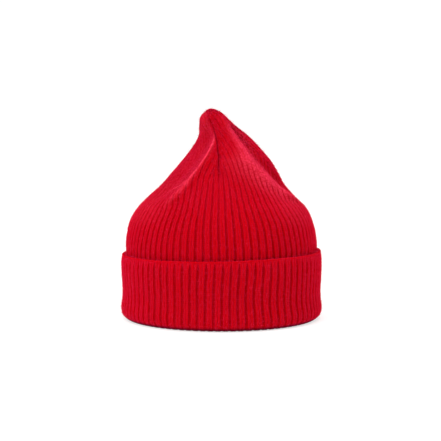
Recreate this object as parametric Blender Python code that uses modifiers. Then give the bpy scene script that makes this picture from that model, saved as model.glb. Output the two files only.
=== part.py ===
"""Rib-knit beanie with a turned-up cuff, standing on the fold of its cuff.

Two pieces: the crown (the dome and the layer that runs on down inside the
cuff) and the cuff (the turned-up band with the fold that carries the hat).
The wearer's face looks along -Y, +Z is up, and the origin is the middle of
the ring on which the hat stands. Tables are in millimetres and degrees.
"""
import math

import bmesh
import bpy
import numpy as np

MM = 0.001

# ---------------------------------------------------------------- sizes (mm)
WALL = 4.0                # thickness of the knit
SPINE_X = -2.4            # groove at the middle of the front, low on the crown
AROUND = 60               # faces round a ring
RED = (0.55, 0.0, 0.012, 1.0)

# Outline of the crown at each height: the edges seen from the front
# (left, right) and from the side (front, back). The last row is the tip.
CROWN_SECTIONS = (
    # z,     left,  right,  front,  back
    (6.8,   -83.9,  83.9,  -83.9,  83.9),
    (8.4,   -83.9,  83.9,  -83.9,  83.9),
    (13.0,  -86.6,  86.6,  -86.6,  86.6),
    (19.0,  -88.5,  88.5,  -88.5,  88.5),
    (27.0,  -89.0,  89.0,  -89.0,  89.0),
    (40.0,  -89.5,  89.5,  -89.5,  89.5),
    (60.0,  -90.0,  90.0,  -90.0,  90.0),
    (69.0,  -90.5,  90.5,  -90.5,  90.5),
    (81.0,  -89.4,  89.4,  -89.6,  89.6),
    (92.5,  -86.5,  86.5,  -87.0,  87.4),
    (104.0, -79.6,  81.2,  -81.0,  82.5),
    (115.0, -68.9,  70.3,  -71.5,  73.5),
    (126.5, -56.5,  60.2,  -60.0,  63.0),
    (138.0, -46.4,  54.2,  -50.5,  54.0),
    (149.5, -36.8,  47.0,  -42.0,  46.0),
    (161.0, -28.0,  37.0,  -33.5,  37.0),
    (172.0, -22.0,  26.1,  -24.5,  27.0),
    (183.5, -21.2,  11.8,  -16.5,  18.0),
    (190.0, -20.2,   5.0,  -12.5,  13.0),
    (195.0, -16.3,  -0.8,   -7.8,   8.0),
    (198.0,  -9.6,  -9.6,    0.0,   0.0),
)

# Folds and dents of the soft crown. Each runs up the crown through an azimuth
# at each of the heights (degrees; 0 is +X, 270 the front), between z_low and
# z_top. It stands out by lift (a dent is negative) and fades out over a spread
# to each side.
FOLD_HEIGHTS = (110.0, 130.0, 150.0, 170.0, 190.0)
CROWN_FOLDS = (
    # name,            azimuth at each height,        z_low, z_top, lift, spread
    ("front_spine",     (268, 265, 260, 254, 251),    124.0, 196.0, -2.6,  6.0),
    ("left_crease",     (228, 235, 241, 248, 251),    106.0, 184.0,  5.0,  6.5),
    ("left_dent",       (205, 207, 211, 216, 222),    108.0, 186.0, -7.0, 14.0),
    ("right_fold",      (346, 320, 300, 295, 312),    104.0, 194.0,  5.0,  9.0),
    ("right_dent",      (350, 343, 327, 321, 332),    112.0, 190.0, -6.5,  9.0),
    ("back_right_fold", (24, 20, 15, 10, 5),          112.0, 190.0,  3.0, 12.0),
    ("back_left_fold",  (150, 154, 158, 162, 166),    112.0, 190.0,  3.0, 12.0),
    ("back_spine",      (92, 92, 92, 92, 92),         120.0, 192.0, -5.0, 12.0),
    ("left_pleat",      (196, 229, 262, 262, 262),    115.0, 134.0,  1.6,  4.0),
)

# Outer face of the cuff from the end of its fold, under the ring on which the
# hat stands, to its top edge.
CUFF_PROFILE = (
    # radius, z
    (79.9,  6.2),
    (79.9,  4.6),
    (80.9,  1.9),
    (83.4,  0.0),
    (88.2,  0.0),
    (91.4,  1.6),
    (94.2,  5.0),
    (95.1, 10.0),
    (94.2, 18.5),
    (93.9, 27.0),
    (94.6, 39.0),
    (95.1, 50.0),
    (94.9, 57.5),
    (94.3, 61.8),
)
EDGE_ROUND = 1.3          # rounding of the top edge
RIM_TILT = 1.7            # the top edge is this much higher at +X, lower at -X
RIM_FROM = 27.0           # the tilt grows from this height up to the edge


# ------------------------------------------------------------- the crown shape
def hermite(at, xs, ys):
    """Smooth curve through the rows (xs, ys), read at the places in at."""
    slope = np.gradient(ys, xs, axis=0)
    i = np.clip(np.searchsorted(xs, at, side="right") - 1, 0, len(xs) - 2)
    h = (xs[i + 1] - xs[i])[:, None]
    t = ((at - xs[i]) / (xs[i + 1] - xs[i]))[:, None]
    return (
        ys[i] * (1 + 2 * t) * (1 - t) ** 2
        + slope[i] * h * t * (1 - t) ** 2
        + ys[i + 1] * t * t * (3 - 2 * t)
        + slope[i + 1] * h * t * t * (t - 1)
    )


def crown_rows():
    """Rows as distance up the wall against (z, middle and half size in X and Y). A row is added past the tip, so that the curve runs level over it."""
    z, left, right, front, back = np.array(CROWN_SECTIONS).T
    rows = np.stack([z, (left + right) / 2, (right - left) / 2, (front + back) / 2, (back - front) / 2], 1)
    past = rows[-2] * (1, 1, -1, 1, -1)
    rows = np.vstack([rows, past])
    step = np.hypot(np.diff(rows[:, 0]), np.diff(rows[:, 2]))
    return np.concatenate([[0.0], np.cumsum(step)]), rows


def window(z, low, high, fade=13.0):
    up = np.clip((z - low) / fade, 0, 1)
    down = np.clip((high - z) / fade, 0, 1)
    return (up * up * (3 - 2 * up)) * (down * down * (3 - 2 * down))


def spine_x(z):
    """Where the groove at the middle of the front runs, leaning with the tip."""
    lean = max(0.0, z - 150.0)
    return SPINE_X - 0.0058 * lean ** 2


def crown_ring(row, around):
    """Points round the crown at one row (z, middle, half sizes), evenly spaced from the groove at the middle of the front, towards +X."""
    z, mid_x, half_x, mid_y, half_y = row
    angle = np.radians(np.arange(720) * 0.5 - 90.0)
    size = (half_x + half_y) / 2
    reach = np.full(720, size)
    for name, azimuths, z_low, z_top, lift, spread in CROWN_FOLDS:
        at = math.radians(np.interp(z, FOLD_HEIGHTS, azimuths))
        off = size * ((angle - at + math.pi) % (2 * math.pi) - math.pi)
        reach += lift * window(z, z_low, z_top) * np.exp(-((off / spread) ** 2))
    x, y = reach * np.cos(angle), reach * np.sin(angle)
    x = mid_x + half_x * (2 * (x - x.min()) / np.ptp(x) - 1)
    y = mid_y + half_y * (2 * (y - y.min()) / np.ptp(y) - 1)
    if half_x < 0.5:
        start = 0.0
    else:  # the place at the front where x passes the spine
        near = np.arange(-120, 120)
        start = near[np.argmin(np.abs(x[near] - spine_x(z)))]
    loop = np.stack([x, y], 1)
    loop = np.roll(loop, -int(start), axis=0)
    loop = np.vstack([loop, loop[:1]])
    run = np.concatenate([[0.0], np.cumsum(np.hypot(*np.diff(loop, axis=0).T))])
    want = np.arange(around) / around * run[-1]
    return np.stack([np.interp(want, run, loop[:, 0]), np.interp(want, run, loop[:, 1]), np.full(around, z)], 1)


# -------------------------------------------------------------- mesh building
def material(name, colour):
    mat = bpy.data.materials.new(name)
    mat.use_nodes = True
    shader = mat.node_tree.nodes["Principled BSDF"]
    shader.inputs["Base Color"].default_value = colour
    shader.inputs["Roughness"].default_value = 0.95
    shader.inputs["Metallic"].default_value = 0.0
    mat.diffuse_color = colour
    return mat


def loft(name, rings, tip, mat, collection):
    """An open surface through rings of equal count, closed by a tip point if one is given."""
    bm = bmesh.new()
    loops = []
    for ring in rings:
        made = bmesh.ops.create_circle(bm, segments=len(ring), radius=1.0)["verts"]
        for vert, place in zip(made, ring):
            vert.co = [c * MM for c in place]
        loops.append(made)
    for low, high in zip(loops, loops[1:]):
        edges = [e for loop in (low, high) for e in {e for v in loop for e in v.link_edges if e.other_vert(v) in set(loop)}]
        bmesh.ops.bridge_loops(bm, edges=edges)
    if tip is not None:
        last = loops[-1]
        edges = list({e for v in last for e in v.link_edges if e.other_vert(v) in set(last)})
        cap = bmesh.ops.contextual_create(bm, geom=edges)["faces"]
        middle = bmesh.ops.poke(bm, faces=cap)["verts"][0]
        middle.co = [c * MM for c in tip]
    bmesh.ops.recalc_face_normals(bm, faces=bm.faces)
    mesh = bpy.data.meshes.new(name)
    bm.to_mesh(mesh)
    bm.free()
    mesh.materials.append(mat)
    mesh.shade_smooth()
    part = bpy.data.objects.new(name, mesh)
    collection.objects.link(part)
    return part


def thicken(part, offset):
    wall = part.modifiers.new("wall", "SOLIDIFY")
    wall.thickness = WALL * MM
    wall.offset = offset
    wall.use_rim = True


def main():
    for old in list(bpy.data.objects):
        bpy.data.objects.remove(old, do_unlink=True)
    collection = bpy.data.collections.new("beanie")
    bpy.context.scene.collection.children.link(collection)

    # Crown: rings closer together where the folds are, ending in the tip.
    along, rows = crown_rows()
    end = along[-2]
    heights = (6.8, 8.4, 14, 22, 40, 60, 76, 87, 96, 104, 111, 118, 125, 132, 139, 146, 153, 160, 167, 174, 181, 187, 192, 195.5, 197.4)
    fine = np.linspace(0, end, 4000)
    z_of = hermite(fine, along, rows)[:, 0]
    places = np.interp(heights, z_of, fine)
    places[0] = 0.0
    rings = [crown_ring(row, AROUND) for row in hermite(places, along, rows)]
    tip = (CROWN_SECTIONS[-1][1], CROWN_SECTIONS[-1][3], CROWN_SECTIONS[-1][0])
    crown = loft("crown", rings, tip, material("red_knit_crown", RED), collection)
    thicken(crown, -1.0)

    # Cuff: one profile carried round, its top edge tilted a little.
    turn = 2 * math.pi * np.arange(AROUND) / AROUND
    rings = []
    for radius, z in CUFF_PROFILE:
        share = max(0.0, (z - RIM_FROM) / (CUFF_PROFILE[-1][1] - RIM_FROM))
        rings.append(np.stack([radius * np.cos(turn), radius * np.sin(turn), z + RIM_TILT * share * np.cos(turn)], 1))
    cuff = loft("cuff", rings, None, material("red_knit_cuff", RED), collection)
    thicken(cuff, -1.0)
    edge = cuff.modifiers.new("edge", "BEVEL")
    edge.width = EDGE_ROUND * MM
    edge.segments = 1
    edge.limit_method = "ANGLE"
    edge.angle_limit = math.radians(60)


main()
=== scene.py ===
"""Red rib-knit beanie with a turned-up cuff, standing on a plain pale floor.

The knit is modelled rib by rib: the crown's ribs run up from the cuff and end
one after another against four narrowing lines (spines), which meet in the tip.
Lengths in the tables are millimetres, angles degrees.
"""

import math

import bpy
import numpy as np
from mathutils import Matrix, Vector


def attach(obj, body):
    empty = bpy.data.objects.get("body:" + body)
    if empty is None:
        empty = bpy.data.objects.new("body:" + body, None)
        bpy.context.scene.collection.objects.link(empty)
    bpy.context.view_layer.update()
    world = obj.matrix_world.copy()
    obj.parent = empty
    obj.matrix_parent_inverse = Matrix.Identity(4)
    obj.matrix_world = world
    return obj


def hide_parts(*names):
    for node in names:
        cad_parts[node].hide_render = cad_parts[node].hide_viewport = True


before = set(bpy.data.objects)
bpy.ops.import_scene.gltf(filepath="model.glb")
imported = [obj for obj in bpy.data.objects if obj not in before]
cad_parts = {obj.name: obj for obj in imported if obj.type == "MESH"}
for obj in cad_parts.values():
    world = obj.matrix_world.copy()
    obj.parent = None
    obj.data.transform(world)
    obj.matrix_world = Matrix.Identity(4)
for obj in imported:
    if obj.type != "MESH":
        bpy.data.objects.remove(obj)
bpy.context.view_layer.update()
MM = 0.001

# ------------------------------------------------------------------ the form
WALL = 4.0
SPINE_X = -2.4            # groove at the middle of the front, low on the crown
RIBS = 80                 # ribs round the hat
COURSE = 1.75             # height of one knitted row

CROWN_SECTIONS = (
    # z,     left,  right,  front,  back
    (6.8,   -83.9,  83.9,  -83.9,  83.9),
    (8.4,   -83.9,  83.9,  -83.9,  83.9),
    (13.0,  -86.6,  86.6,  -86.6,  86.6),
    (19.0,  -88.5,  88.5,  -88.5,  88.5),
    (27.0,  -89.0,  89.0,  -89.0,  89.0),
    (40.0,  -89.5,  89.5,  -89.5,  89.5),
    (60.0,  -90.0,  90.0,  -90.0,  90.0),
    (69.0,  -90.5,  90.5,  -90.5,  90.5),
    (81.0,  -89.4,  89.4,  -89.6,  89.6),
    (92.5,  -86.5,  86.5,  -87.0,  87.4),
    (104.0, -79.6,  81.2,  -81.0,  82.5),
    (115.0, -68.9,  70.3,  -71.5,  73.5),
    (126.5, -56.5,  60.2,  -60.0,  63.0),
    (138.0, -46.4,  54.2,  -50.5,  54.0),
    (149.5, -36.8,  47.0,  -42.0,  46.0),
    (161.0, -28.0,  37.0,  -33.5,  37.0),
    (172.0, -22.0,  26.1,  -24.5,  27.0),
    (183.5, -21.2,  11.8,  -16.5,  18.0),
    (190.0, -20.2,   5.0,  -12.5,  13.0),
    (195.0, -16.3,  -0.8,   -7.8,   8.0),
    (198.0,  -9.6,  -9.6,    0.0,   0.0),
)
FOLD_HEIGHTS = (110.0, 130.0, 150.0, 170.0, 190.0)
CROWN_FOLDS = (
    # name,            azimuth at each height,        z_low, z_top, lift, spread
    ("front_spine",     (268, 265, 260, 254, 251),    124.0, 196.0, -2.6,  6.0),
    ("left_crease",     (228, 235, 241, 248, 251),    106.0, 184.0,  5.0,  6.5),
    ("left_dent",       (205, 207, 211, 216, 222),    108.0, 186.0, -7.0, 14.0),
    ("right_fold",      (346, 320, 300, 295, 312),    104.0, 194.0,  5.0,  9.0),
    ("right_dent",      (350, 343, 327, 321, 332),    112.0, 190.0, -6.5,  9.0),
    ("back_right_fold", (24, 20, 15, 10, 5),          112.0, 190.0,  3.0, 12.0),
    ("back_left_fold",  (150, 154, 158, 162, 166),    112.0, 190.0,  3.0, 12.0),
    ("back_spine",      (92, 92, 92, 92, 92),         120.0, 192.0, -5.0, 12.0),
    ("left_pleat",      (196, 229, 262, 262, 262),    115.0, 134.0,  1.6,  4.0),
)
CUFF_PROFILE = (
    # radius, z
    (79.9,  6.4),
    (79.9,  4.6),
    (80.9,  1.9),
    (83.4,  0.0),
    (88.2,  0.0),
    (91.4,  1.6),
    (94.2,  5.0),
    (95.1, 10.0),
    (94.2, 18.5),
    (93.9, 27.0),
    (94.6, 39.0),
    (95.1, 50.0),
    (94.9, 57.5),
    (94.4, 61.0),
)
RIM_TILT = 1.7
RIM_FROM = 27.0
RIB_DEPTH = 0.24          # depth of a groove as a share of the rib's width

# How far the crown's ribs stand to the right of an even spread, in mm, at each
# height and at each of the azimuths from the front (degrees, + to the right).
SWAY_AT = (-180, -110, -60, -45, -27, -10, 10, 27, 45, 60, 110, 180)
CROWN_SWAY = (
    # z
    (50.0,  (2.0, 2.0, 2.5, 2.2, 0.4, 0.3, 0.9, 1.8, 1.9, 1.0, 1.0, 2.0)),
    (66.0,  (2.0, 2.0, 2.9, 2.4, 0.5, 0.4, 0.9, 1.8, 1.9, 1.0, 1.0, 2.0)),
    (81.0,  (2.0, 3.0, 5.0, 3.9, 0.9, 0.3, 0.4, 1.2, 0.5, 0.2, 0.5, 2.0)),
    (94.0,  (1.0, 3.0, 5.8, 5.2, 2.2, 0.1, 0.0, 0.5, 0.0, 0.0, 0.0, 1.0)),
    (105.0, (0.0, 3.0, 5.8, 5.2, 2.9, 0.4, -0.3, -0.7, -2.0, -2.2, 0.0, 0.0)),
    (112.0, (0.0, 1.5, 3.6, 3.2, 1.5, 0.2, 0.0, -0.5, -0.8, -1.0, 0.0, 0.0)),
    (118.0, (0.0, 0.0, 1.0, 0.9, 0.2, 0.0, 0.0, -0.2, -0.5, -0.5, 0.0, 0.0)),
    (125.0, (0.0, 0.0, -1.4, -1.4, -1.0, -0.2, 0.1, 0.4, 0.0, 0.0, 0.0, 0.0)),
    (131.0, (0.0, 0.0, -1.8, -1.8, -1.6, -0.4, 0.0, 0.2, 0.0, 0.0, 0.0, 0.0)),
    (141.0, (0.0, 0.0, -0.8, -0.8, -0.8, -0.2, 0.0, 0.0, 0.0, 0.0, 0.0, 0.0)),
    (152.0, (0.0,) * 12),
    (198.0, (0.0,) * 12),
)
PITCH_ABOVE = 4.25        # width to which the ribs are kept once they end at the spines


def hermite(at, xs, ys):
    """Smooth curve through the rows (xs, ys), read at the places in at."""
    slope = np.gradient(ys, xs, axis=0)
    i = np.clip(np.searchsorted(xs, at, side="right") - 1, 0, len(xs) - 2)
    h = (xs[i + 1] - xs[i])[:, None]
    t = ((at - xs[i]) / (xs[i + 1] - xs[i]))[:, None]
    return (
        ys[i] * (1 + 2 * t) * (1 - t) ** 2
        + slope[i] * h * t * (1 - t) ** 2
        + ys[i + 1] * t * t * (3 - 2 * t)
        + slope[i + 1] * h * t * t * (t - 1)
    )


def smooth(x, low=0.0, high=1.0):
    t = np.clip((x - low) / (high - low), 0, 1)
    return t * t * (3 - 2 * t)


def crown_rows():
    z, left, right, front, back = np.array(CROWN_SECTIONS).T
    rows = np.stack([z, (left + right) / 2, (right - left) / 2, (front + back) / 2, (back - front) / 2], 1)
    rows = np.vstack([rows, rows[-2] * (1, 1, -1, 1, -1)])
    step = np.hypot(np.diff(rows[:, 0]), np.diff(rows[:, 2]))
    return np.concatenate([[0.0], np.cumsum(step)]), rows


def window(z, low, high, fade=13.0):
    return smooth(z, low, low + fade) * smooth(-z, -high, fade - high)


def spine_x(z):
    return SPINE_X - 0.0058 * max(0.0, z - 150.0) ** 2


def fold_azimuth(name, z):
    path = next(f[1] for f in CROWN_FOLDS if f[0] == name)
    return math.radians(np.interp(z, FOLD_HEIGHTS, path))


class Ring:
    """The outline of the crown at one height, and where things lie along it."""

    def __init__(self, row, samples=1440):
        z, mid_x, half_x, mid_y, half_y = row
        angle = np.arange(samples) * (2 * math.pi / samples) - math.pi / 2
        size = max((half_x + half_y) / 2, 1e-3)
        reach = np.full(samples, size)
        for _, azimuths, z_low, z_top, lift, spread in CROWN_FOLDS:
            at = math.radians(np.interp(z, FOLD_HEIGHTS, azimuths))
            off = size * ((angle - at + math.pi) % (2 * math.pi) - math.pi)
            reach += lift * window(z, z_low, z_top) * np.exp(-((off / spread) ** 2))
        x, y = reach * np.cos(angle), reach * np.sin(angle)
        x = mid_x + half_x * (2 * (x - x.min()) / np.ptp(x) - 1)
        y = mid_y + half_y * (2 * (y - y.min()) / np.ptp(y) - 1)
        loop = np.stack([x, y], 1)
        loop = np.vstack([loop, loop[:1]])
        self.z = z
        self.loop = loop
        self.run = np.concatenate([[0.0], np.cumsum(np.hypot(*np.diff(loop, axis=0).T))])
        self.length = self.run[-1]
        self.turn = np.concatenate([angle, [angle[0] + 2 * math.pi]])
        # the place at the front where x passes the spine
        span = samples // 6
        near = np.arange(-span, span)
        off = x[near] - spine_x(z)
        hit = np.nonzero((off[:-1] <= 0) & (off[1:] > 0))[0]
        if len(hit) and half_x > 0.5:
            k = hit[len(hit) // 2]
            share = -off[k] / (off[k + 1] - off[k])
            self.start = self._run_at((near[k] + share) % samples)
        else:
            self.start = 0.0

    def _run_at(self, index):
        low = int(index)
        return self.run[low] + (self.run[low + 1] - self.run[low]) * (index - low)

    def points(self, shares):
        """Points at these shares of the way round from the front spine, towards +X."""
        at = (self.start + np.asarray(shares) * self.length) % self.length
        return np.stack([np.interp(at, self.run, self.loop[:, 0]), np.interp(at, self.run, self.loop[:, 1]), np.full(len(at), self.z)], 1)

    def share_of(self, azimuth):
        """Share of the way round, between -0.5 and 0.5, at which an azimuth lies."""
        turn = (azimuth + math.pi / 2) % (2 * math.pi) - math.pi / 2
        share = (np.interp(turn, self.turn, self.run) - self.start) / self.length
        return (share + 0.5) % 1.0 - 0.5


def wander(u, v, seed, waves=((3, 0.02), (7, 0.035), (13, 0.06), (22, 0.09), (37, 0.13)), fall=0.75):
    """Smooth unevenness between about -1 and 1, over shares round the hat and lengths up it."""
    rng = np.random.default_rng(seed)
    total = np.zeros(np.broadcast(u, v).shape)
    weight = 1.0
    for turns, slope in waves:
        for _ in range(2):
            n = turns + rng.integers(-1, 2)
            total = total + weight * np.sin(2 * math.pi * n * u + slope * rng.uniform(-1.6, 1.6) * v + rng.uniform(0, 6.28))
        weight *= fall
    return total / 3.2


def lumps(rows, columns, seed):
    """Unevenness of the wool from stitch to stitch, about -1 to 1, on a grid closed round its columns."""
    rough = np.random.default_rng(seed).normal(size=(rows, columns))
    rough = rough + np.roll(rough, 1, 1) + np.roll(rough, -1, 1) + 0.5 * (np.roll(rough, 2, 1) + np.roll(rough, -2, 1))
    return rough / 2.8


def rib_shape(t):
    """Height, 0 to 1, across one rib from groove (0) to groove (1): two rounded wales with a shallow line between them."""
    e = np.minimum(t, 1 - t)
    plateau = smooth(e, 0.05, 0.25)
    wale = np.clip(1 - ((e - 0.325) / 0.180) ** 2, 0, 1) ** 0.5
    return plateau * (0.46 + 0.54 * wale)


def crown_sway(z, u):
    rows = np.array([row for _, row in CROWN_SWAY], float)
    heights = np.array([h for h, _ in CROWN_SWAY])
    row = hermite(np.array([min(max(z, heights[0]), heights[-1])]), heights, rows)[0]
    front = (u * 360 + 180) % 360 - 180
    return hermite(front, np.array(SWAY_AT, float), row[:, None])[:, 0]


def across_panel(a, quarter, pitch, ended, draw):
    """Place across its rib, the rib's width and the strength of its relief, at a distance a from the spine where a panel starts. Each spine carries one whole rib to each side; of the ribs between them, the first ones (ended) have run out against the near spine. Near it the ribs are drawn in by draw before they end."""
    near = a < pitch
    far = a > quarter - pitch
    drawn = a + draw * np.exp(-(((a - 3.0) / 7.0) ** 2)) * ~near
    first = pitch + draw * math.exp(-(((pitch - 3.0) / 7.0) ** 2))
    index = np.floor((drawn - pitch) / pitch + ended)
    low = np.maximum(pitch + (index - ended) * pitch, first)
    high = np.minimum(pitch + (index + 1 - ended) * pitch, quarter - pitch)
    low = np.where(near, 0.0, np.where(far, quarter - pitch, low))
    high = np.where(near, pitch, np.where(far, quarter, high))
    width = np.maximum(high - low, 1e-3)
    t = np.clip((np.where(near | far, a, drawn) - low) / width, 0, 1)
    part = np.clip(width / pitch, 0, 1)
    # a rib that is running out merges with the one along the spine
    cut = 1 - (first / pitch - 1 + ended) % 1.0
    merge = smooth(1 - cut, 0.0, 0.35) * (ended > 0.3)
    running_out = ~near & ~far & (low <= first + 1e-6)
    relief = np.where(running_out, np.where(t < 0.5, smooth(part, 0.0, 0.7) * (1 - merge), smooth(part, 0.0, 0.4)), smooth(part, 0.0, 0.7))
    relief = np.where(near & (t > 0.5), 1 - merge, relief)
    return t, width, relief


def crown_knit(rings, u, along):
    """Place across the rib, width of the rib, strength of its relief, and masks of painted highlight (crest, band) and
    painted shade (shade) over the folds with the facet, on the crown's grid of rows (rings) and columns (u).
    """
    t_all, width_all, relief_all, fold_all = [], [], [], []
    for ring, v in zip(rings, along):
        L, z = ring.length, ring.z
        quarter = L / 4
        kept = PITCH_ABOVE - 0.35 * smooth(z, 150, 185)
        pitch = 0.5 * (L / RIBS + kept + math.hypot(L / RIBS - kept, 0.2))
        pitch = min(pitch, quarter / 2 * 0.46)
        ended = max(0.0, 18 - (quarter - 2 * pitch) / pitch)
        place = u * L - crown_sway(z, u) * smooth(L, 60, 200)
        loose = 0.16 * wander(u, np.full_like(u, v), 5) + 0.17 * wander(u, np.full_like(u, v), 6, ((31, 0.8), (47, 1.3), (70, 1.9)))
        place = (place + loose * smooth(pitch, 1.5, 4.0)) % L
        panel = np.minimum(np.floor(place / quarter), 3).astype(int)
        a = place - panel * quarter
        # the two front panels are counted from the front spine, where fewer ribs end
        a = np.where(panel == 3, quarter - a, a)
        share = np.where((panel == 0) | (panel == 3), 0.28, 0.5)
        t, width, relief = np.zeros_like(a), np.zeros_like(a), np.zeros_like(a)
        for side, draw in ((0, 1.3 * smooth(z, 136, 150) + 1.1 * smooth(z, 149, 158)), (3, 2.4 * smooth(z, 130, 145) + 1.4 * smooth(z, 145, 155)), (1, 0.8), (2, 0.8)):
            on = panel == side
            if on.any():
                t[on], width[on], relief[on] = across_panel(a[on], quarter, pitch, share[on][0] * ended, draw)
        # over the folds
        from_front = (1 - u) * L
        crease = from_front + ring.share_of(fold_azimuth("left_crease", z)) * L      # + is left of the crease
        facet = smooth(crease, 0.5, 4.0) * smooth(quarter * 1.05 - from_front, 0, 16) * smooth(z, 114, 131)
        relief = relief * (1 - 0.64 * facet)
        ridge = (u * L - ring.share_of(fold_azimuth("right_fold", z)) * L + L / 2) % L - L / 2
        relief = relief * (1 - 0.68 * np.exp(-(((ridge + 1.5) / 8.5) ** 2)) * window(z, 110, 196, 20))
        spine = np.minimum(place % quarter, quarter - place % quarter)
        cleft = np.exp(-((spine / 2.0) ** 2)) * np.where((panel == 0) | (panel == 3), smooth(z, 131, 147) * smooth(-z, -186, -168), 0)
        cleft = cleft * (np.minimum(u, 1 - u) < 0.1)
        relief = relief * (1 - 0.25 * np.exp(-((spine / 1.5) ** 2)) * window(z, 106, 141)) * (1 + 0.45 * cleft) * (1 - 0.08 * smooth(z, 118, 138))
        # crest: the ridge along the left crease, lifted a little in the mesh and a mask of painted highlight
        low = smooth(-z, -139, -117)
        crest = np.exp(-((crease / (0.9 + 3.4 * low)) ** 2)) * window(z, 106, 182, 16) * (1 - 0.82 * low)
        crest = crest + 0.2 * np.exp(-(((crease - 1.0) / 4.0) ** 2)) * window(z, 104, 180, 16)
        crest = crest * np.where(from_front < L * 0.45, 1, 0)
        # band: a mask of painted highlight along the right fold
        wide = 5.0 + 4.5 * smooth(-z, -168, -140)
        wide = np.where(ridge < 1.5, wide * (1 + 1.2 * smooth(-z, -166, -146)), wide)
        band = np.exp(-(((ridge - 1.5) / wide) ** 2)) * window(z, 104, 196, 24)
        front = np.abs((u * 360 + 180) % 360 - 180)
        band = band + 0.22 * window(z, 84, 136, 20) * smooth(front, 28, 62)                # painted highlight on the shoulders
        relief = relief * (1 - 0.22 * window(z, 84, 130, 20) * smooth(front, 26, 60))
        # painted highlight left of the tip
        band = band + 0.3 * smooth(z, 170, 180) * smooth(crease, 1, 4) * np.where(from_front < L * 0.3, 1, 0)
        pleat = (from_front + ring.share_of(fold_azimuth("left_pleat", z)) * L) / 1.6      # a faint second line under the crease, lifted a little and painted as a highlight
        crest = crest + 0.72 * np.exp(-(pleat ** 2)) * smooth(z, 118, 126) * smooth(-z, -138, -132) * np.where(from_front < L * 0.45, 1, 0)
        # shade: a mask of painted shade on the left facet and in the dent right of the right fold
        shade = facet * smooth(-z, -178, -160) * (1.15 - 0.7 * smooth(crease, 8, 30)) + 1.8 * np.exp(-(((ridge - 17) / 8) ** 2)) * window(z, 116, 190)
        wavy = (from_front + L / 2) % L - L / 2 + 0.7 * np.sin(z * 0.42) + 0.4 * np.sin(z * 0.91)       # a wavy stripe of painted shade along the groove at the middle of the front, sunk a little and kept clear of painted highlight
        wavy = np.exp(-((wavy / 1.7) ** 2)) * smooth(z, 129, 141) * smooth(-z, -190, -174)
        shade = shade + 1.5 * wavy
        crest = crest - 0.7 * wavy
        t_all.append(t)
        width_all.append(np.minimum(width, pitch))
        relief_all.append(relief)
        fold_all.append(np.stack([crest, band, shade, facet], 1))
    return np.array(t_all), np.array(width_all), np.array(relief_all), np.array(fold_all)


def grid_normals(points, outward):
    """Unit normals of a grid that is closed round its columns."""
    across = np.roll(points, -1, 1) - np.roll(points, 1, 1)
    up = np.gradient(points, axis=0)
    n = np.cross(across, up)
    n /= np.maximum(np.linalg.norm(n, axis=2, keepdims=True), 1e-9)
    return n * outward


# ------------------------------------------------------------- mesh building
def make_object(name, verts, faces, uvs=None, fields=None, flip=False):
    """A mesh object from vertices in millimetres; faces is a list of equal-width index arrays, uvs one place per corner in the same order."""
    mesh = bpy.data.meshes.new(name)
    counts = np.concatenate([np.full(len(f), f.shape[1]) for f in faces])
    corner = np.concatenate([(f[:, ::-1] if flip else f).ravel() for f in faces]).astype(np.int32)
    mesh.vertices.add(len(verts))
    mesh.vertices.foreach_set("co", (verts * MM).astype(np.float32).ravel())
    mesh.loops.add(len(corner))
    mesh.loops.foreach_set("vertex_index", corner)
    mesh.polygons.add(len(counts))
    starts = np.concatenate([[0], np.cumsum(counts)[:-1]]).astype(np.int32)
    mesh.polygons.foreach_set("loop_start", starts)
    if uvs is not None:
        layer = mesh.uv_layers.new(name="OFBake")
        flat = np.concatenate([(m[:, ::-1] if flip else m).reshape(-1, 2) for m in uvs])
        layer.uv.foreach_set("vector", flat.astype(np.float32).ravel())
    for key, values in (fields or {}).items():
        attribute = mesh.attributes.new(key, "FLOAT_VECTOR", "POINT")
        attribute.data.foreach_set("vector", values.astype(np.float32).ravel())
    mesh.update(calc_edges=True)
    mesh.validate()
    mesh.shade_smooth()
    ob = bpy.data.objects.new(name, mesh)
    bpy.context.scene.collection.objects.link(ob)
    return ob


def grid_faces(rows, first=0):
    """Faces and their chart places for rows of columns, closed round. Where a row has half the columns of the one below, two columns meet in one. rows is a list of column counts."""
    quads, quad_uv, tris, tri_uv = [], [], [], []
    base = first
    n = len(rows) - 1
    for r in range(n):
        low, high = rows[r], rows[r + 1]
        v0, v1 = r / n, (r + 1) / n
        j = np.arange(high)
        nxt = (j + 1) % high
        if low == high:
            quads.append(np.stack([base + j, base + nxt, base + low + nxt, base + low + j], 1))
            u0, u1 = j / high, (j + 1) / high
            quad_uv.append(np.stack([np.stack([u0, np.full(high, v0)], 1), np.stack([u1, np.full(high, v0)], 1), np.stack([u1, np.full(high, v1)], 1), np.stack([u0, np.full(high, v1)], 1)], 1))
        else:
            u0, um, u1 = j / high, (j + 0.5) / high, (j + 1) / high
            a, b, c = base + 2 * j, base + 2 * j + 1, base + (2 * j + 2) % low
            d, e = base + low + nxt, base + low + j
            quads.append(np.stack([b, c, d, e], 1))
            quad_uv.append(np.stack([np.stack([um, np.full(high, v0)], 1), np.stack([u1, np.full(high, v0)], 1), np.stack([u1, np.full(high, v1)], 1), np.stack([u0, np.full(high, v1)], 1)], 1))
            tris.append(np.stack([a, b, e], 1))
            tri_uv.append(np.stack([np.stack([u0, np.full(high, v0)], 1), np.stack([um, np.full(high, v0)], 1), np.stack([u0, np.full(high, v1)], 1)], 1))
        base += low
    faces, uvs = [np.concatenate(quads)], [np.concatenate(quad_uv)]
    if tris:
        faces.append(np.concatenate(tris))
        uvs.append(np.concatenate(tri_uv))
    return faces, uvs, base


# ------------------------------------------------------------------ the crown
along_rows, row_table = crown_rows()
end_of_crown = along_rows[-2]
fine = np.linspace(0, end_of_crown, 6000)
fine_rows = hermite(fine, along_rows, row_table)
fine_z = fine_rows[:, 0]


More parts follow.
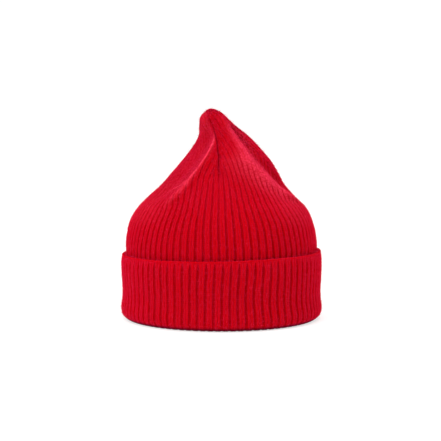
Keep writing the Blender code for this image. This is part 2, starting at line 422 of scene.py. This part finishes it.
def place_at(z):
    return float(np.interp(z, fine_z[: len(fine_z) - 20], fine[: len(fine) - 20]))


def crown_grid(places, columns):
    rings = [Ring(row) for row in hermite(np.asarray(places), along_rows, row_table)]
    u = np.arange(columns) / columns
    points = np.stack([ring.points(u) for ring in rings])
    return rings, u, points


def crown_band(name, spans, closed):
    """One piece of the crown's outer face. spans lists the heights between which it has a number of columns; rows is the distance between its rows."""
    verts, fields, folds, rows = [], [], [], []
    for z_low, z_high, columns, step in spans:
        low = place_at(z_low)
        high = end_of_crown - 0.7 if z_high is None else place_at(z_high)
        places = np.linspace(low, high, int(round((high - low) / step)) + 1)
        # one row more at each end, for the slopes
        wide = np.concatenate([[places[0] - step], places, [min(places[-1] + step, end_of_crown - 0.1)]])
        rings, u, points = crown_grid(wide, columns)
        t, width, relief, fold = crown_knit(rings, u, wide)
        normal = grid_normals(points, 1.0)
        height = rib_shape(t) * relief + (1 - relief) * 0.72
        uneven = 0.35 * wander(u[None, :], wide[:, None], 11, ((2, 0.02), (5, 0.03), (9, 0.05)))
        uneven *= smooth(np.array([ring.length for ring in rings]), 60, 240)[:, None]
        drop = RIB_DEPTH * width * (1 - height) - uneven - 0.8 * fold[..., 0] + 0.5 * fold[..., 3]
        drop += 0.14 * lumps(len(wide), columns, 51 + columns) * smooth(width, 1.0, 3.5)
        points = points - normal * drop[..., None]
        keep = slice(2 if verts else 1, -1)
        course = np.broadcast_to((wide / COURSE)[:, None], t.shape)
        verts.append(points[keep].reshape(-1, 3))
        fields.append(np.stack([np.abs(2 * t - 1), course, height], 2)[keep].reshape(-1, 3))
        folds.append(fold[keep][..., :3].reshape(-1, 3))
        rows += [columns] * len(points[keep])
    faces, uvs, _ = grid_faces(rows)
    if closed:
        n = rows[-1]
        verts.append(np.array([[CROWN_SECTIONS[-1][1], CROWN_SECTIONS[-1][3], CROWN_SECTIONS[-1][0] - 0.5]]))
        fields.append(np.array([[0.9, end_of_crown / COURSE, 0.6]]))
        folds.append(np.zeros((1, 3)))
        last = sum(len(v) for v in verts) - 1
        j = np.arange(n)
        faces.append(np.stack([last - n + j, last - n + (j + 1) % n, np.full(n, last)], 1))
        uvs.append(np.stack([np.stack([j / n, np.full(n, 0.999)], 1), np.stack([(j + 1) / n, np.full(n, 0.999)], 1), np.stack([(j + 0.5) / n, np.ones(n)], 1)], 1))
    return make_object(name, np.concatenate(verts), faces, uvs, {"knit": np.concatenate(fields), "fold": np.concatenate(folds)})


def crown_inside():
    """The inner face of the crown, seen from below: the same ribs turned round, so that a rib stands where the outside has a groove."""
    columns = RIBS * 9
    start, stop = place_at(6.8), end_of_crown - 5.0
    places = np.linspace(start, stop, 84)
    rings, u, points = crown_grid(places, columns)
    t, width, relief, _ = crown_knit(rings, u, places)
    back = (t + 0.5) % 1.0
    normal = grid_normals(points, 1.0)
    height = rib_shape(back) * relief + (1 - relief) * 0.78
    size = np.array([ring.length for ring in rings])[:, None] / (2 * math.pi)
    wall = np.minimum(WALL, size * 0.3)
    depth = wall - RIB_DEPTH * np.minimum(width, size * 0.2) * (1 - height)
    points = points - normal * depth[..., None]
    course = np.broadcast_to((-places / COURSE)[:, None], t.shape)
    field = np.stack([np.abs(2 * back - 1), course, height], 2)
    faces, uvs, _ = grid_faces([columns] * len(places))
    flat = points.reshape(-1, 3)
    middle = points[-1].mean(0)
    flat = np.vstack([flat, [middle + (0, 0, 1.0)]])
    field = np.vstack([field.reshape(-1, 3), [[0.9, -stop / COURSE, 0.6]]])
    n = columns
    j = np.arange(n)
    base = len(flat) - 1 - n
    faces.append(np.stack([base + j, base + (j + 1) % n, np.full(n, len(flat) - 1)], 1))
    uvs.append(np.stack([np.stack([j / n, np.full(n, 0.999)], 1), np.stack([(j + 1) / n, np.full(n, 0.999)], 1), np.stack([(j + 0.5) / n, np.ones(n)], 1)], 1))
    return make_object("crown_inner_face", flat, faces, uvs, {"knit": field}, flip=True)


# ------------------------------------------------------------------- the cuff
def cuff_profile(step):
    """(radius, z) of the cuff's outer face from the end of its fold, up and over its top edge and in against the crown, in steps of about that length, and the number of rows before the edge."""
    table = np.array(CUFF_PROFILE)
    run = np.concatenate([[0.0], np.cumsum(np.hypot(*np.diff(table, axis=0).T))])
    fold = run[8]
    fine_part = np.linspace(0, fold, int(fold / (step * 0.8)) + 1)
    places = np.concatenate([fine_part[:-1], np.linspace(fold, run[-1], int((run[-1] - fold) / step) + 1)])
    outer = hermite(places, run, table)
    outer[:, 1] = np.maximum(outer[:, 1], 0.0)
    r, z = outer[-1]
    turn = np.radians([15, 35, 58, 82, 108, 135, 160, 178])
    over = np.stack([r - 2.1 + 2.1 * np.cos(turn), z + 1.9 * np.sin(turn)], 1)
    inner = np.stack([np.full(3, r - 4.25), z - np.array([1.2, 3.5, 7.0])], 1)
    under = np.array([[82.9, 11.0], [81.9, 8.6]])                # runs on behind the crown's inner face
    return np.vstack([under, outer, over, inner]), len(under) + len(outer)


def cuff_grid(step, columns):
    profile, edge = cuff_profile(step)
    u = np.arange(columns) / columns
    run = np.concatenate([[0.0], np.cumsum(np.hypot(*np.diff(profile, axis=0).T))])
    z = profile[:, 1]
    zz = np.clip(z, 0, 62)[:, None]
    angle = -math.pi / 2 + 2 * math.pi * u
    front = ((u * 360 + 180) % 360 - 180)[None, :]
    # grooves stand a little further right, in mm: at the sides, at the top of the front, and on the right near the fold
    sway = 1.9 * smooth(np.abs(front), 10, 60) - 0.8 * np.exp(-(((front - 14) / 11) ** 2))
    sway = sway + 1.2 * smooth(zz, 33, 56) * np.exp(-(((front - 4) / 26) ** 4))
    sway = sway + 1.3 * smooth(-zz, -30, -6) * smooth(front, 4, 24) * smooth(-front, -130, -90)
    sway = sway + 0.9 * smooth(-front, 8, 24) * smooth(front, -80, -58) + 0.5 * np.exp(-(((front + 4) / 30) ** 2))
    sway = sway + 0.16 * wander(u[None, :], run[:, None], 21)
    sway = sway + 0.13 * wander(u[None, :], run[:, None], 22, ((31, 0.8), (47, 1.3), (70, 1.9)))
    pitch = 2 * math.pi * profile[:, 0] / RIBS
    t = (front - 0.05 - sway / 1.64) / (360 / RIBS) % 1.0
    share = smooth(zz[:, 0], RIM_FROM, 62)
    tilt = RIM_TILT * share[:, None] * np.cos(angle)[None, :]
    uneven = 0.45 * wander(u[None, :], run[:, None], 31, ((2, 0.02), (5, 0.03), (9, 0.05))) * smooth(zz, 2, 14)
    radius = profile[:, :1] + uneven
    points = np.stack([radius * np.cos(angle), radius * np.sin(angle), np.broadcast_to(z[:, None], t.shape) + tilt], 2)
    points[..., 2] += 0.25 * wander(u[None, :], run[:, None] * 0, 41, ((3, 0), (8, 0), (17, 0))) * share[:, None]
    return profile, edge, run, u, points, t, pitch


def cuff_outside():
    columns = RIBS * 18
    step = 1.52
    profile, edge, run, u, points, t, pitch = cuff_grid(step, columns)
    along = np.gradient(profile, axis=0)
    n2 = np.stack([along[:, 1], -along[:, 0]], 1)
    n2 /= np.linalg.norm(n2, axis=1, keepdims=True)
    angle = np.arctan2(points[..., 1], points[..., 0])
    normal = np.stack([n2[:, :1] * np.cos(angle), n2[:, :1] * np.sin(angle), np.broadcast_to(n2[:, 1:], angle.shape)], 2)
    # the grooves run out under a plain cast-on edge
    left = run[edge - 1] - run
    relief = ((0.25 + 0.75 * smooth(left, -0.6, 2.6)) * (0.2 + 0.8 * smooth(profile[:, 1], 0.3, 8.0)))[:, None] * (1 - 0.22 * smooth(-np.cos(angle - 0.15), 0.74, 0.97))
    narrow = 0.5 * smooth(-left, -6.0, -1.0)[:, None]
    e = 0.5 * (2 * np.minimum(t, 1 - t)) ** (1 / (1 + 1.6 * narrow))
    tt = np.where(t < 0.5, e, 1 - e)
    height = rib_shape(tt) * relief + (1 - relief) * 0.9
    drop = RIB_DEPTH * pitch[:, None] * (1 - height)
    drop += 0.13 * lumps(*t.shape, 61) * smooth(run, 18, 26)[:, None]
    points = points - normal * drop[..., None]
    points[..., 2] = np.maximum(points[..., 2], 0.0)
    course = np.broadcast_to((run / COURSE)[:, None], t.shape)
    field = np.stack([np.abs(2 * tt - 1), course, height], 2)
    faces, uvs, _ = grid_faces([columns] * len(profile))
    return make_object("cuff_ribs", points.reshape(-1, 3), faces, uvs, {"knit": field.reshape(-1, 3)})


def cast_on_edge():
    """The cast-on: a fine plied edge along the top of the cuff, one turn for each stitch."""
    stitches = RIBS * 4
    per = 6
    columns = stitches * per
    around = 8
    profile, edge, run, u, points, t, pitch = cuff_grid(1.0, columns)
    r, z = profile[edge - 1]
    angle = np.arctan2(points[edge - 1, :, 1], points[edge - 1, :, 0])
    radius = np.hypot(points[edge - 1, :, 0], points[edge - 1, :, 1])
    height = points[edge - 1, :, 2]
    phase = 2 * math.pi * stitches * u
    dip = RIB_DEPTH * pitch[edge - 1] * 0.3 * (0.9 - rib_shape(t[edge - 1]))
    radius, height = radius - dip, height - 0.8 * dip
    rows = []
    for k in range(around):
        a = 2 * math.pi * k / around
        thick = 0.80 + 0.24 * np.cos(2 * a - phase)
        rr = radius - 0.75 + thick * np.cos(a) * 0.95
        zz = height + 1.2 + thick * np.sin(a) * 1.05
        rows.append(np.stack([rr * np.cos(angle), rr * np.sin(angle), zz], 1))
    flat = np.stack(rows)                       # around x columns
    j = np.arange(columns)
    nxt = (j + 1) % columns
    faces, uvs = [], []
    for k in range(around):
        k2 = (k + 1) % around
        faces.append(np.stack([k * columns + j, k * columns + nxt, k2 * columns + nxt, k2 * columns + j], 1))
        v0, v1 = k / around, (k + 1) / around
        uvs.append(np.stack([np.stack([j / columns, np.full(columns, v0)], 1), np.stack([(j + 1) / columns, np.full(columns, v0)], 1), np.stack([(j + 1) / columns, np.full(columns, v1)], 1), np.stack([j / columns, np.full(columns, v1)], 1)], 1))
    field = np.stack([np.full(flat.shape[:2], 0.3), np.broadcast_to((stitches * u)[None, :], flat.shape[:2]), np.full(flat.shape[:2], 0.95)], 2)
    return make_object("cast_on_edge", flat.reshape(-1, 3), [np.concatenate(faces)], [np.concatenate(uvs)], {"knit": field.reshape(-1, 3)})


# ------------------------------------------------------------------ loose wool
def wool_fuzz(name, sources, count, seed):
    """Short loose fibres standing off the knit, as thin tapering strips."""
    rng = np.random.default_rng(seed)
    verts_all, faces_all, base = [], [], 0
    for ob, share in sources:
        mesh = ob.data
        co = np.zeros(len(mesh.vertices) * 3, np.float32)
        mesh.vertices.foreach_get("co", co)
        co = co.reshape(-1, 3) / MM
        no = np.zeros(len(mesh.vertices) * 3, np.float32)
        mesh.vertices.foreach_get("normal", no)
        no = no.reshape(-1, 3)
        knit = np.zeros(len(mesh.vertices) * 3, np.float32)
        mesh.attributes["knit"].data.foreach_get("vector", knit)
        knit = knit.reshape(-1, 3)
        # even over the surface: a vertex counts by the area round it
        faces = np.zeros(len(mesh.polygons), np.float32)
        mesh.polygons.foreach_get("area", faces)
        loops = np.zeros(len(mesh.loops), np.int32)
        mesh.loops.foreach_get("vertex_index", loops)
        sizes = np.zeros(len(mesh.polygons), np.int32)
        mesh.polygons.foreach_get("loop_total", sizes)
        area = np.bincount(loops, np.repeat(faces / sizes, sizes), len(co))
        chance = area * (0.25 + np.clip(knit[:, 2], 0, 1)) * (co[:, 2] > 4.0)
        n = int(count * share)
        pick = rng.choice(len(co), n, p=chance / chance.sum())
        root, out = co[pick], no[pick]
        free = rng.normal(size=(n, 3))
        side = free - out * (free * out).sum(1, keepdims=True)
        side /= np.linalg.norm(side, axis=1, keepdims=True)
        length = rng.gamma(3.0, 0.5, n)[:, None].clip(0.6, 4.2)
        lift = rng.uniform(0.25, 0.95, n)[:, None]
        curl = rng.normal(size=(n, 3)) * 0.35
        tip = root + length * (out * lift * 0.8 + side * (1.1 - lift) + curl * 0.35)
        mid = root + length * 0.5 * (out * lift * 1.15 + side * (0.8 - 0.5 * lift))
        across = np.cross(tip - root, out)
        across /= np.maximum(np.linalg.norm(across, axis=1, keepdims=True), 1e-6)
        wide = rng.uniform(0.045, 0.082, n)[:, None]
        root = root - out * 0.15
        verts = np.stack([root - across * wide, root + across * wide, mid + across * wide * 0.8, mid - across * wide * 0.8, tip], 1)
        index = base + np.arange(n)[:, None] * 5
        faces_all.append((index + np.array([[0, 1, 2, 3]]), index + np.array([[3, 2, 4]])))
        verts_all.append(verts.reshape(-1, 3))
        base += n * 5
    flat = np.concatenate(verts_all)
    quads = np.concatenate([f[0] for f in faces_all])
    tris = np.concatenate([f[1] for f in faces_all])
    return make_object(name, flat, [quads, tris])


# ------------------------------------------------------------------ materials
class Nodes:
    """Short names for adding nodes to one material."""

    def __init__(self, name):
        self.mat = bpy.data.materials.new(name)
        self.mat.use_nodes = True
        self.tree = self.mat.node_tree
        self.shader = self.tree.nodes["Principled BSDF"]

    def put(self, kind, **values):
        node = self.tree.nodes.new(kind)
        for key, value in values.items():
            setattr(node, key, value)
        return node

    def feed(self, socket, value):
        if isinstance(value, bpy.types.NodeSocket):
            self.tree.links.new(value, socket)
        else:
            socket.default_value = value

    def math(self, op, a, b=None, c=None, clamp=False):
        node = self.put("ShaderNodeMath", operation=op, use_clamp=clamp)
        for i, value in enumerate((a, b, c)):
            if value is not None:
                self.feed(node.inputs[i], value)
        return node.outputs[0]

    def ramp(self, value, low, high, to_low=0.0, to_high=1.0):
        node = self.put("ShaderNodeMapRange", interpolation_type="SMOOTHSTEP")
        for i, v in enumerate((value, low, high, to_low, to_high)):
            self.feed(node.inputs[i], v)
        return node.outputs[0]

    def noise(self, vector, scale, detail=2.0, rough=0.5):
        node = self.put("ShaderNodeTexNoise")
        self.feed(node.inputs["Vector"], vector)
        node.inputs["Scale"].default_value = scale
        node.inputs["Detail"].default_value = detail
        node.inputs["Roughness"].default_value = rough
        return node.outputs["Fac"]

    def mix(self, share, a, b):
        node = self.put("ShaderNodeMix", data_type="RGBA")
        self.feed(node.inputs[0], share)
        self.feed(node.inputs[6], a)
        self.feed(node.inputs[7], b)
        return node.outputs[2]


DEEP_TONE_AND_SHADE = (0.29, 0.0, 0.001, 1.0)       # painted shade down between the stitches and in the shaded folds; also a darker random tone
BODY = (0.56, 0.0, 0.0044, 1.0)
FIBRE_HIGHLIGHT = (0.74, 0.001, 0.023, 1.0)       # painted highlight where loose fibre on the rib tops catches the light
FOLD_HIGHLIGHT = (0.93, 0.048, 0.105, 1.0)        # painted highlight on the fold crests, the right fold's band, the shoulders and specks in the painted shade


def wool(name, flow=1.0):
    """Red wool knit. Two wales of V-shaped stitches on each rib, purl bumps in its grooves, a haze of fibre over both. flow is 1 where the Vs open upward and -1 where the knit is seen turned over."""
    n = Nodes(name)
    at = n.put("ShaderNodeTexCoord").outputs["Object"]
    knit = n.put("ShaderNodeAttribute", attribute_name="knit", attribute_type="GEOMETRY")
    split = n.put("ShaderNodeSeparateXYZ")
    n.feed(split.inputs[0], knit.outputs["Vector"])
    across, course, height = split.outputs
    fold = n.put("ShaderNodeAttribute", attribute_name="fold", attribute_type="GEOMETRY")
    split = n.put("ShaderNodeSeparateXYZ")
    n.feed(split.inputs[0], fold.outputs["Vector"])
    crest, band, shade = split.outputs

    # the wool is uneven: its stitches wander a little
    wobble = n.math("SUBTRACT", n.noise(at, 240.0, 1.0), 0.5)
    across = n.math("ADD", across, n.math("MULTIPLY", wobble, 0.10))
    # place across one wale, -1 to 1, from its middle
    wale = n.math("DIVIDE", n.math("SUBTRACT", across, 0.345), 0.33)
    side = n.math("ABSOLUTE", wale)
    rise = n.math("MULTIPLY", side, 0.62 * flow)
    strand = n.math("FRACT", n.math("SUBTRACT", n.math("ADD", course, n.math("MULTIPLY", wobble, 0.35)), rise))
    strand = n.math("SINE", n.math("MULTIPLY", strand, math.pi))
    strand = n.math("POWER", strand, 0.7)
    leg = n.ramp(side, 0.0, 0.30)                       # line down the middle of the V
    edge = n.ramp(side, 1.0, 0.72)
    stitch = n.math("MULTIPLY", n.math("MULTIPLY", strand, leg), edge)
    # purl bumps down in the groove
    in_groove = n.ramp(across, 0.70, 0.84)
    purl = n.math("FRACT", n.math("ADD", course, 0.5))
    purl = n.math("SINE", n.math("MULTIPLY", purl, math.pi))
    relief = n.math("ADD", n.math("MULTIPLY", stitch, n.math("SUBTRACT", 1.0, in_groove)), n.math("MULTIPLY", n.math("MULTIPLY", purl, in_groove), 0.8))

    fibre = n.noise(at, 2600.0, 4.0, 0.65)
    haze = n.noise(at, 900.0, 3.0, 0.6)
    broad = n.noise(at, 28.0, 2.0, 0.5)
    grain = n.noise(at, 960.0, 2.0, 0.6)

    # painted shade in the grooves and between the stitches' strands: the colour darkens with the rib's height and the
    # stitch relief; the haze noise adds random tone
    tone = n.math("ADD", n.math("MULTIPLY", relief, 0.55), n.math("MULTIPLY", height, 0.62))
    tone = n.math("ADD", tone, n.math("MULTIPLY", n.math("SUBTRACT", haze, 0.5), 0.55), clamp=True)
    colour = n.mix(tone, DEEP_TONE_AND_SHADE, BODY)
    # painted highlight on the rib tops, where loose fibre catches the light
    bright = n.math("MULTIPLY", n.ramp(fibre, 0.50, 0.78), n.math("MULTIPLY", height, 0.30))
    colour = n.mix(bright, colour, FIBRE_HIGHLIGHT)
    colour = n.mix(n.math("MULTIPLY", n.ramp(broad, 0.35, 0.7), 0.08), colour, DEEP_TONE_AND_SHADE)
    colour = n.mix(n.math("MULTIPLY", n.ramp(across, 0.24, 0.02), 0.26), colour, DEEP_TONE_AND_SHADE)        # painted shade in the line between a rib's two wales
    # painted shade on the left facet, in the dent right of the right fold and along the groove at the middle of the
    # front, broken up by grain
    colour = n.mix(n.math("MULTIPLY", shade, n.ramp(grain, 0.58, 0.42, 0.02, 0.78)), colour, DEEP_TONE_AND_SHADE)
    # painted shade, darker still, where the groove at the middle of the front is cut deepest
    colour = n.mix(n.ramp(height, 0.0, -0.5, 0.0, 0.6), colour, (0.10, 0.0, 0.002, 1.0))
    # painted highlight along the left crease and its pleat, on the right fold's band and the shoulders, with pale
    # specks in the painted shade
    speck = n.ramp(grain, 0.42, 0.63, 0.32, 1.5)
    pale = n.math("ADD", n.math("MULTIPLY", crest, 0.85), n.math("MULTIPLY", n.math("MULTIPLY", band, n.ramp(height, 0.1, 0.8, 0.3, 1.0)), 0.66))
    dots = n.math("MULTIPLY", n.math("MINIMUM", shade, 1.0), n.ramp(grain, 0.50, 0.66, 0.0, 0.5))
    pale = n.math("ADD", n.math("MULTIPLY", pale, speck), dots, clamp=True)
    colour = n.mix(pale, colour, FOLD_HIGHLIGHT)
    # painted shade, near black, at the underside where the fold rests on the floor
    place = n.put("ShaderNodeSeparateXYZ")
    n.feed(place.inputs[0], at)
    colour = n.mix(n.ramp(place.outputs[2], 0.0052, 0.0010, 0.0, 0.95), colour, (0.03, 0.0, 0.0, 1.0))
    n.feed(n.shader.inputs["Base Color"], colour)
    n.feed(n.shader.inputs["Roughness"], n.ramp(haze, 0.3, 0.7, 0.88, 1.0))
    n.shader.inputs["Specular IOR Level"].default_value = 0.02
    n.shader.inputs["Sheen Weight"].default_value = 0.42
    n.shader.inputs["Sheen Roughness"].default_value = 0.32
    n.shader.inputs["Sheen Tint"].default_value = (1.0, 0.016, 0.20, 1.0)

    low = n.put("ShaderNodeBump")
    low.inputs["Strength"].default_value = 0.75
    low.inputs["Distance"].default_value = 0.0006
    n.feed(low.inputs["Height"], relief)
    high = n.put("ShaderNodeBump")
    high.inputs["Strength"].default_value = 0.5
    high.inputs["Distance"].default_value = 0.0003
    n.feed(high.inputs["Height"], n.math("ADD", n.math("MULTIPLY", haze, 0.6), n.math("MULTIPLY", fibre, 0.5)))
    n.feed(high.inputs["Normal"], low.outputs[0])
    n.feed(n.shader.inputs["Normal"], high.outputs[0])
    return n.mat


def fibre_material():
    n = Nodes("loose_wool_fibre")
    at = n.put("ShaderNodeTexCoord").outputs["Object"]
    colour = n.mix(n.noise(at, 400.0, 2.0), (0.58, 0.0, 0.010, 1.0), (0.90, 0.034, 0.13, 1.0))
    n.feed(n.shader.inputs["Base Color"], colour)
    n.shader.inputs["Roughness"].default_value = 0.7
    n.shader.inputs["Specular IOR Level"].default_value = 0.05
    return n.mat


def floor_material():
    n = Nodes("pale_floor")
    at = n.put("ShaderNodeTexCoord").outputs["Object"]
    tone = n.noise(at, 3.0, 2.0)
    n.feed(n.shader.inputs["Base Color"], n.mix(tone, (0.50, 0.50, 0.50, 1.0), (0.52, 0.52, 0.52, 1.0)))
    n.shader.inputs["Roughness"].default_value = 0.9
    n.shader.inputs["Specular IOR Level"].default_value = 0.1
    n.shader.inputs["Emission Color"].default_value = (1.0, 1.0, 1.0, 1.0)
    n.shader.inputs["Emission Strength"].default_value = 0.55
    return n.mat


# ------------------------------------------------------------ the hat's pieces
per_rib = 18
crown = crown_band("crown_ribs", ((52.0, 119.0, RIBS * per_rib, 1.62),), False)
crown_top = crown_band("crown_top_ribs", ((119.0, 150.0, RIBS * per_rib, 1.5), (150.0, None, RIBS * per_rib // 2, 1.35)), True)
lining = crown_inside()
cuff = cuff_outside()
rim = cast_on_edge()
knit_up = wool("red_wool_knit", 1.0)
knit_down = wool("red_wool_knit_turned", -1.0)
crown.data.materials.append(knit_up)
crown_top.data.materials.append(knit_up)
lining.data.materials.append(knit_down)
cuff.data.materials.append(knit_down)
rim.data.materials.append(knit_down)
fuzz = wool_fuzz("loose_fibres_crown", ((crown, 0.58), (crown_top, 0.42)), 60000, 7)
cuff_fuzz = wool_fuzz("loose_fibres_cuff", ((cuff, 1.0),), 54000, 8)
fibre = fibre_material()
fuzz.data.materials.append(fibre)
cuff_fuzz.data.materials.append(fibre)

for piece, node, slot in ((crown, "crown", "red_knit_crown"), (crown_top, "crown", "red_knit_crown"), (lining, "crown", "red_knit_crown"), (cuff, "cuff", "red_knit_cuff"), (rim, None, "red_knit_cuff"), (fuzz, None, "red_knit_crown"), (cuff_fuzz, None, "red_knit_cuff")):
    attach(piece, "root")
    if node:
        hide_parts(node)

# ------------------------------------------------------------------- the stage
bpy.ops.mesh.primitive_plane_add(size=16.0, location=(0, 0, 0))
floor = bpy.context.object
floor.name = "floor"
floor.data.materials.append(floor_material())

scene = bpy.context.scene
world = bpy.data.worlds.new("studio")
scene.world = world
world.use_nodes = True
sky = world.node_tree
toward = sky.nodes.new("ShaderNodeTexCoord").outputs["Generated"]
part = sky.nodes.new("ShaderNodeSeparateXYZ")
sky.links.new(toward, part.inputs[0])
rise = sky.nodes.new("ShaderNodeMapRange")          # white at the height of the hat, softer overhead
rise.interpolation_type = "SMOOTHSTEP"
for socket, value in zip(list(rise.inputs)[1:5], (0.12, 0.75, 1.02, 0.50)):
    socket.default_value = value
sky.links.new(part.outputs[2], rise.inputs[0])
sky.nodes["Background"].inputs["Color"].default_value = (1.0, 1.0, 1.0, 1.0)
sky.links.new(rise.outputs[0], sky.nodes["Background"].inputs["Strength"])


def soft_light(name, place, aim, size, power):
    data = bpy.data.lights.new(name, "AREA")
    data.shape = "SQUARE"
    data.size = size
    data.energy = power
    ob = bpy.data.objects.new(name, data)
    ob.location = place
    ob.rotation_euler = (Vector(aim) - Vector(place)).to_track_quat("-Z", "Y").to_euler()
    scene.collection.objects.link(ob)


soft_light("key_left", (-1.2, -1.13, 1.1), (0, 0, 0.1), 0.45, 13.5)
soft_light("fill_right", (1.48, -0.02, 1.2), (0, 0, 0.1), 0.6, 11.0)


def sun(name, place, strength, angle):
    data = bpy.data.lights.new(name, "SUN")
    data.energy = strength
    data.angle = math.radians(angle)
    ob = bpy.data.objects.new(name, data)
    ob.rotation_euler = Vector(place).to_track_quat("Z", "Y").to_euler()
    scene.collection.objects.link(ob)


sun("overhead", (-0.2, -0.15, 1.0), 1.9, 70.0)

camera_data = bpy.data.cameras.new("camera")
camera = bpy.data.objects.new("camera", camera_data)
scene.collection.objects.link(camera)
camera.location = (-0.0008, -1.17, 0.18)
camera.rotation_euler = (Vector((-0.0008, 0, 0.0921)) - camera.location).to_track_quat("-Z", "Y").to_euler()
camera_data.lens = 100.9
camera_data.sensor_width = 36.0
camera_data.clip_start = 0.05
camera_data.clip_end = 50.0
scene.camera = camera

scene.view_settings.view_transform = "Standard"
scene.view_settings.look = "None"
scene.view_settings.exposure = 0.0
